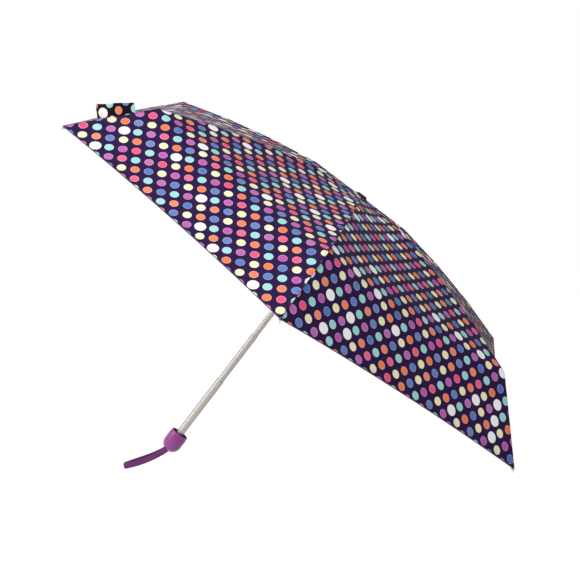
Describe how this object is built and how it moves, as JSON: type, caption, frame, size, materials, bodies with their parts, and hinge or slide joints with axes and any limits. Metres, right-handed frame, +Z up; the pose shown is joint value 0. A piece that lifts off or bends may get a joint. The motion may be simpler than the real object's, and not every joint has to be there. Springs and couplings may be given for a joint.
{
  "type": "folding umbrella",
  "caption": "Child's compact folding umbrella, open, with a dotted six-gore canopy, telescoping metal shaft, cup-shaped handle and wrist strap.",
  "frame": {"origin": "middle of the handle's cylindrical grip band, on the axis of the shaft", "axes": "+Z up the shaft towards the canopy, -Y towards rib 1, -X the side to which the wrist strap bends and on which the closing band stands"},
  "size_m": [0.7603, 0.8742, 0.5267],
  "materials": {
    "handle_plastic": "satin moulded plastic, purple",
    "strap": "flexible moulded strap, purple",
    "steel": "plated pins and rivets",
    "black_plastic": "moulded nylon, black",
    "grey_plastic": "moulded plastic, grey",
    "satin_aluminium": "satin drawn tube",
    "rib_steel": "plated channel steel",
    "tip_plastic": "moulded tip, off-white",
    "canopy_fabric": "thin plain-woven polyester, dark violet with multicoloured printed dots",
    "band_fabric": "the same printed fabric, folded double"
  },
  "bodies": {
    "handle": {"handle_cup": "handle_plastic", "strap_pin": "steel", "tube_1": "satin_aluminium"},
    "tube_2": {"tube_2": "satin_aluminium"},
    "tube_3": {"tube_3": "satin_aluminium"},
    "tube_4": {"tube_4": "satin_aluminium"},
    "hub": {"tube_5": "satin_aluminium", "notch": "black_plastic", "notch_pins": "steel", "notch_cap": "canopy_fabric", "canopy": "canopy_fabric", "closing_band": "band_fabric"},
    "runner": {"runner": "black_plastic", "runner_pins": "steel"},
    "runner_button": {"runner_button": "grey_plastic"},
    "wrist_strap": {"wrist_strap": "strap"},
    "rib_1_section_1": {"rib_1_section_1": "rib_steel"},
    "rib_1_section_2": {"rib_1_section_2": "rib_steel"},
    "rib_1_section_3": {"rib_1_section_3": "rib_steel"},
    "rib_1_section_4": {"rib_1_section_4": "rib_steel"},
    "rib_1_section_5": {"rib_1_section_5": "rib_steel", "rib_1_tip": "tip_plastic"},
    "rib_2_section_1": {"rib_2_section_1": "rib_steel"},
    "rib_2_section_2": {"rib_2_section_2": "rib_steel"},
    "rib_2_section_3": {"rib_2_section_3": "rib_steel"},
    "rib_2_section_4": {"rib_2_section_4": "rib_steel"},
    "rib_2_section_5": {"rib_2_section_5": "rib_steel", "rib_2_tip": "tip_plastic"},
    "rib_3_section_1": {"rib_3_section_1": "rib_steel"},
    "rib_3_section_2": {"rib_3_section_2": "rib_steel"},
    "rib_3_section_3": {"rib_3_section_3": "rib_steel"},
    "rib_3_section_4": {"rib_3_section_4": "rib_steel"},
    "rib_3_section_5": {"rib_3_section_5": "rib_steel", "rib_3_tip": "tip_plastic"},
    "rib_4_section_1": {"rib_4_section_1": "rib_steel"},
    "rib_4_section_2": {"rib_4_section_2": "rib_steel"},
    "rib_4_section_3": {"rib_4_section_3": "rib_steel"},
    "rib_4_section_4": {"rib_4_section_4": "rib_steel"},
    "rib_4_section_5": {"rib_4_section_5": "rib_steel", "rib_4_tip": "tip_plastic"},
    "rib_5_section_1": {"rib_5_section_1": "rib_steel"},
    "rib_5_section_2": {"rib_5_section_2": "rib_steel"},
    "rib_5_section_3": {"rib_5_section_3": "rib_steel"},
    "rib_5_section_4": {"rib_5_section_4": "rib_steel"},
    "rib_5_section_5": {"rib_5_section_5": "rib_steel", "rib_5_tip": "tip_plastic"},
    "rib_6_section_1": {"rib_6_section_1": "rib_steel"},
    "rib_6_section_2": {"rib_6_section_2": "rib_steel"},
    "rib_6_section_3": {"rib_6_section_3": "rib_steel"},
    "rib_6_section_4": {"rib_6_section_4": "rib_steel"},
    "rib_6_section_5": {"rib_6_section_5": "rib_steel", "rib_6_tip": "tip_plastic"},
    "stretcher_1": {"stretcher_1": "rib_steel"},
    "stretcher_2": {"stretcher_2": "rib_steel"},
    "stretcher_3": {"stretcher_3": "rib_steel"},
    "stretcher_4": {"stretcher_4": "rib_steel"},
    "stretcher_5": {"stretcher_5": "rib_steel"},
    "stretcher_6": {"stretcher_6": "rib_steel"}
  },
  "joints": [
    {"name": "shaft_slide_2", "type": "slide", "parent": "handle", "child": "tube_2", "axis": [0, 0, 1], "range_m": [-0.0785, 0]},
    {"name": "shaft_slide_3", "type": "slide", "parent": "tube_2", "child": "tube_3", "axis": [0, 0, 1], "range_m": [-0.0785, 0]},
    {"name": "shaft_slide_4", "type": "slide", "parent": "tube_3", "child": "tube_4", "axis": [0, 0, 1], "range_m": [-0.0785, 0]},
    {"name": "shaft_slide_5", "type": "slide", "parent": "tube_4", "child": "hub", "axis": [0, 0, 1], "range_m": [-0.0785, 0]},
    {"name": "canopy_fold", "type": "slide", "parent": "hub", "child": "runner", "axis": [0, 0, 1], "range_m": [-0.06056, 0], "deforming": ["canopy", "closing_band"]},
    {"name": "rib_1_hinge_1", "type": "hinge", "parent": "hub", "child": "rib_1_section_1", "pos_m": [0, -0.009, 0.439], "axis": [-1, 0, 0], "range_deg": [-88, 0]},
    {"name": "rib_1_hinge_2", "type": "hinge", "parent": "rib_1_section_1", "child": "rib_1_section_2", "pos_m": [0, -0.092, 0.4376], "axis": [-1, 0, 0], "range_deg": [0, 188]},
    {"name": "rib_1_hinge_3", "type": "hinge", "parent": "rib_1_section_2", "child": "rib_1_section_3", "pos_m": [0, -0.17425, 0.42031], "axis": [-1, 0, 0], "range_deg": [-177, 0]},
    {"name": "rib_1_hinge_4", "type": "hinge", "parent": "rib_1_section_3", "child": "rib_1_section_4", "pos_m": [0, -0.2558, 0.40456], "axis": [-1, 0, 0], "range_deg": [0, 183]},
    {"name": "rib_1_hinge_5", "type": "hinge", "parent": "rib_1_section_4", "child": "rib_1_section_5", "pos_m": [0, -0.33571, 0.37852], "axis": [-1, 0, 0], "range_deg": [-153, 0]},
    {"name": "rib_2_hinge_1", "type": "hinge", "parent": "hub", "child": "rib_2_section_1", "pos_m": [0.00779, -0.0045, 0.439], "axis": [-0.5, -0.866, 0], "range_deg": [-88, 0]},
    {"name": "rib_2_hinge_2", "type": "hinge", "parent": "rib_2_section_1", "child": "rib_2_section_2", "pos_m": [0.07968, -0.046, 0.4376], "axis": [-0.5, -0.866, 0], "range_deg": [0, 188]},
    {"name": "rib_2_hinge_3", "type": "hinge", "parent": "rib_2_section_2", "child": "rib_2_section_3", "pos_m": [0.1509, -0.08712, 0.42031], "axis": [-0.5, -0.866, 0], "range_deg": [-177, 0]},
    {"name": "rib_2_hinge_4", "type": "hinge", "parent": "rib_2_section_3", "child": "rib_2_section_4", "pos_m": [0.22153, -0.1279, 0.40456], "axis": [-0.5, -0.866, 0], "range_deg": [0, 183]},
    {"name": "rib_2_hinge_5", "type": "hinge", "parent": "rib_2_section_4", "child": "rib_2_section_5", "pos_m": [0.29074, -0.16786, 0.37852], "axis": [-0.5, -0.866, 0], "range_deg": [-153, 0]},
    {"name": "rib_3_hinge_1", "type": "hinge", "parent": "hub", "child": "rib_3_section_1", "pos_m": [0.00779, 0.0045, 0.439], "axis": [0.5, -0.866, 0], "range_deg": [-88, 0]},
    {"name": "rib_3_hinge_2", "type": "hinge", "parent": "rib_3_section_1", "child": "rib_3_section_2", "pos_m": [0.07968, 0.046, 0.4376], "axis": [0.5, -0.866, 0], "range_deg": [0, 188]},
    {"name": "rib_3_hinge_3", "type": "hinge", "parent": "rib_3_section_2", "child": "rib_3_section_3", "pos_m": [0.1509, 0.08712, 0.42031], "axis": [0.5, -0.866, 0], "range_deg": [-177, 0]},
    {"name": "rib_3_hinge_4", "type": "hinge", "parent": "rib_3_section_3", "child": "rib_3_section_4", "pos_m": [0.22153, 0.1279, 0.40456], "axis": [0.5, -0.866, 0], "range_deg": [0, 183]},
    {"name": "rib_3_hinge_5", "type": "hinge", "parent": "rib_3_section_4", "child": "rib_3_section_5", "pos_m": [0.29074, 0.16786, 0.37852], "axis": [0.5, -0.866, 0], "range_deg": [-153, 0]},
    {"name": "rib_4_hinge_1", "type": "hinge", "parent": "hub", "child": "rib_4_section_1", "pos_m": [0, 0.009, 0.439], "axis": [1, 0, 0], "range_deg": [-88, 0]},
    {"name": "rib_4_hinge_2", "type": "hinge", "parent": "rib_4_section_1", "child": "rib_4_section_2", "pos_m": [0, 0.092, 0.4376], "axis": [1, 0, 0], "range_deg": [0, 188]},
    {"name": "rib_4_hinge_3", "type": "hinge", "parent": "rib_4_section_2", "child": "rib_4_section_3", "pos_m": [0, 0.17425, 0.42031], "axis": [1, 0, 0], "range_deg": [-177, 0]},
    {"name": "rib_4_hinge_4", "type": "hinge", "parent": "rib_4_section_3", "child": "rib_4_section_4", "pos_m": [0, 0.2558, 0.40456], "axis": [1, 0, 0], "range_deg": [0, 183]},
    {"name": "rib_4_hinge_5", "type": "hinge", "parent": "rib_4_section_4", "child": "rib_4_section_5", "pos_m": [0, 0.33571, 0.37852], "axis": [1, 0, 0], "range_deg": [-153, 0]},
    {"name": "rib_5_hinge_1", "type": "hinge", "parent": "hub", "child": "rib_5_section_1", "pos_m": [-0.00779, 0.0045, 0.439], "axis": [0.5, 0.866, 0], "range_deg": [-88, 0]},
    {"name": "rib_5_hinge_2", "type": "hinge", "parent": "rib_5_section_1", "child": "rib_5_section_2", "pos_m": [-0.07968, 0.046, 0.4376], "axis": [0.5, 0.866, 0], "range_deg": [0, 188]},
    {"name": "rib_5_hinge_3", "type": "hinge", "parent": "rib_5_section_2", "child": "rib_5_section_3", "pos_m": [-0.1509, 0.08712, 0.42031], "axis": [0.5, 0.866, 0], "range_deg": [-177, 0]},
    {"name": "rib_5_hinge_4", "type": "hinge", "parent": "rib_5_section_3", "child": "rib_5_section_4", "pos_m": [-0.22153, 0.1279, 0.40456], "axis": [0.5, 0.866, 0], "range_deg": [0, 183]},
    {"name": "rib_5_hinge_5", "type": "hinge", "parent": "rib_5_section_4", "child": "rib_5_section_5", "pos_m": [-0.29074, 0.16786, 0.37852], "axis": [0.5, 0.866, 0], "range_deg": [-153, 0]},
    {"name": "rib_6_hinge_1", "type": "hinge", "parent": "hub", "child": "rib_6_section_1", "pos_m": [-0.00779, -0.0045, 0.439], "axis": [-0.5, 0.866, 0], "range_deg": [-88, 0]},
    {"name": "rib_6_hinge_2", "type": "hinge", "parent": "rib_6_section_1", "child": "rib_6_section_2", "pos_m": [-0.07968, -0.046, 0.4376], "axis": [-0.5, 0.866, 0], "range_deg": [0, 188]},
    {"name": "rib_6_hinge_3", "type": "hinge", "parent": "rib_6_section_2", "child": "rib_6_section_3", "pos_m": [-0.1509, -0.08712, 0.42031], "axis": [-0.5, 0.866, 0], "range_deg": [-177, 0]},
    {"name": "rib_6_hinge_4", "type": "hinge", "parent": "rib_6_section_3", "child": "rib_6_section_4", "pos_m": [-0.22153, -0.1279, 0.40456], "axis": [-0.5, 0.866, 0], "range_deg": [0, 183]},
    {"name": "rib_6_hinge_5", "type": "hinge", "parent": "rib_6_section_4", "child": "rib_6_section_5", "pos_m": [-0.29074, -0.16786, 0.37852], "axis": [-0.5, 0.866, 0], "range_deg": [-153, 0]},
    {"name": "stretcher_1_hinge", "type": "hinge", "parent": "runner", "child": "stretcher_1", "pos_m": [0, -0.009, 0.40356], "axis": [-1, 0, 0], "range_deg": [0, 51.01]},
    {"name": "stretcher_2_hinge", "type": "hinge", "parent": "runner", "child": "stretcher_2", "pos_m": [0.00779, -0.0045, 0.40356], "axis": [-0.5, -0.866, 0], "range_deg": [0, 51.01]},
    {"name": "stretcher_3_hinge", "type": "hinge", "parent": "runner", "child": "stretcher_3", "pos_m": [0.00779, 0.0045, 0.40356], "axis": [0.5, -0.866, 0], "range_deg": [0, 51.01]},
    {"name": "stretcher_4_hinge", "type": "hinge", "parent": "runner", "child": "stretcher_4", "pos_m": [0, 0.009, 0.40356], "axis": [1, 0, 0], "range_deg": [0, 51.01]},
    {"name": "stretcher_5_hinge", "type": "hinge", "parent": "runner", "child": "stretcher_5", "pos_m": [-0.00779, 0.0045, 0.40356], "axis": [0.5, 0.866, 0], "range_deg": [0, 51.01]},
    {"name": "stretcher_6_hinge", "type": "hinge", "parent": "runner", "child": "stretcher_6", "pos_m": [-0.00779, -0.0045, 0.40356], "axis": [-0.5, 0.866, 0], "range_deg": [0, 51.01]},
    {"name": "runner_button_press", "type": "slide", "parent": "runner", "child": "runner_button", "axis": [-1, 0, 0], "range_m": [0, 0.0012], "stiffness_N_per_m": 400},
    {"name": "strap_swing", "type": "hinge", "parent": "handle", "child": "wrist_strap", "pos_m": [0, 0, -0.0136], "axis": [0, 1, 0], "range_deg": [-15, 25]}
  ],
  "couplings": [
    {"joint": "rib_1_hinge_1", "follows": "canopy_fold", "rad_per_m": 25.361},
    {"joint": "rib_1_hinge_2", "follows": "canopy_fold", "rad_per_m": -54.18},
    {"joint": "rib_1_hinge_3", "follows": "canopy_fold", "rad_per_m": 51.01},
    {"joint": "rib_1_hinge_4", "follows": "canopy_fold", "rad_per_m": -52.739},
    {"joint": "rib_1_hinge_5", "follows": "canopy_fold", "rad_per_m": 44.093},
    {"joint": "rib_2_hinge_1", "follows": "canopy_fold", "rad_per_m": 25.361},
    {"joint": "rib_2_hinge_2", "follows": "canopy_fold", "rad_per_m": -54.18},
    {"joint": "rib_2_hinge_3", "follows": "canopy_fold", "rad_per_m": 51.01},
    {"joint": "rib_2_hinge_4", "follows": "canopy_fold", "rad_per_m": -52.739},
    {"joint": "rib_2_hinge_5", "follows": "canopy_fold", "rad_per_m": 44.093},
    {"joint": "rib_3_hinge_1", "follows": "canopy_fold", "rad_per_m": 25.361},
    {"joint": "rib_3_hinge_2", "follows": "canopy_fold", "rad_per_m": -54.18},
    {"joint": "rib_3_hinge_3", "follows": "canopy_fold", "rad_per_m": 51.01},
    {"joint": "rib_3_hinge_4", "follows": "canopy_fold", "rad_per_m": -52.739},
    {"joint": "rib_3_hinge_5", "follows": "canopy_fold", "rad_per_m": 44.093},
    {"joint": "rib_4_hinge_1", "follows": "canopy_fold", "rad_per_m": 25.361},
    {"joint": "rib_4_hinge_2", "follows": "canopy_fold", "rad_per_m": -54.18},
    {"joint": "rib_4_hinge_3", "follows": "canopy_fold", "rad_per_m": 51.01},
    {"joint": "rib_4_hinge_4", "follows": "canopy_fold", "rad_per_m": -52.739},
    {"joint": "rib_4_hinge_5", "follows": "canopy_fold", "rad_per_m": 44.093},
    {"joint": "rib_5_hinge_1", "follows": "canopy_fold", "rad_per_m": 25.361},
    {"joint": "rib_5_hinge_2", "follows": "canopy_fold", "rad_per_m": -54.18},
    {"joint": "rib_5_hinge_3", "follows": "canopy_fold", "rad_per_m": 51.01},
    {"joint": "rib_5_hinge_4", "follows": "canopy_fold", "rad_per_m": -52.739},
    {"joint": "rib_5_hinge_5", "follows": "canopy_fold", "rad_per_m": 44.093},
    {"joint": "rib_6_hinge_1", "follows": "canopy_fold", "rad_per_m": 25.361},
    {"joint": "rib_6_hinge_2", "follows": "canopy_fold", "rad_per_m": -54.18},
    {"joint": "rib_6_hinge_3", "follows": "canopy_fold", "rad_per_m": 51.01},
    {"joint": "rib_6_hinge_4", "follows": "canopy_fold", "rad_per_m": -52.739},
    {"joint": "rib_6_hinge_5", "follows": "canopy_fold", "rad_per_m": 44.093},
    {"joint": "stretcher_1_hinge", "follows": "canopy_fold", "rad_per_m": -14.702},
    {"joint": "stretcher_2_hinge", "follows": "canopy_fold", "rad_per_m": -14.702},
    {"joint": "stretcher_3_hinge", "follows": "canopy_fold", "rad_per_m": -14.702},
    {"joint": "stretcher_4_hinge", "follows": "canopy_fold", "rad_per_m": -14.702},
    {"joint": "stretcher_5_hinge", "follows": "canopy_fold", "rad_per_m": -14.702},
    {"joint": "stretcher_6_hinge", "follows": "canopy_fold", "rad_per_m": -14.702}
  ]
}
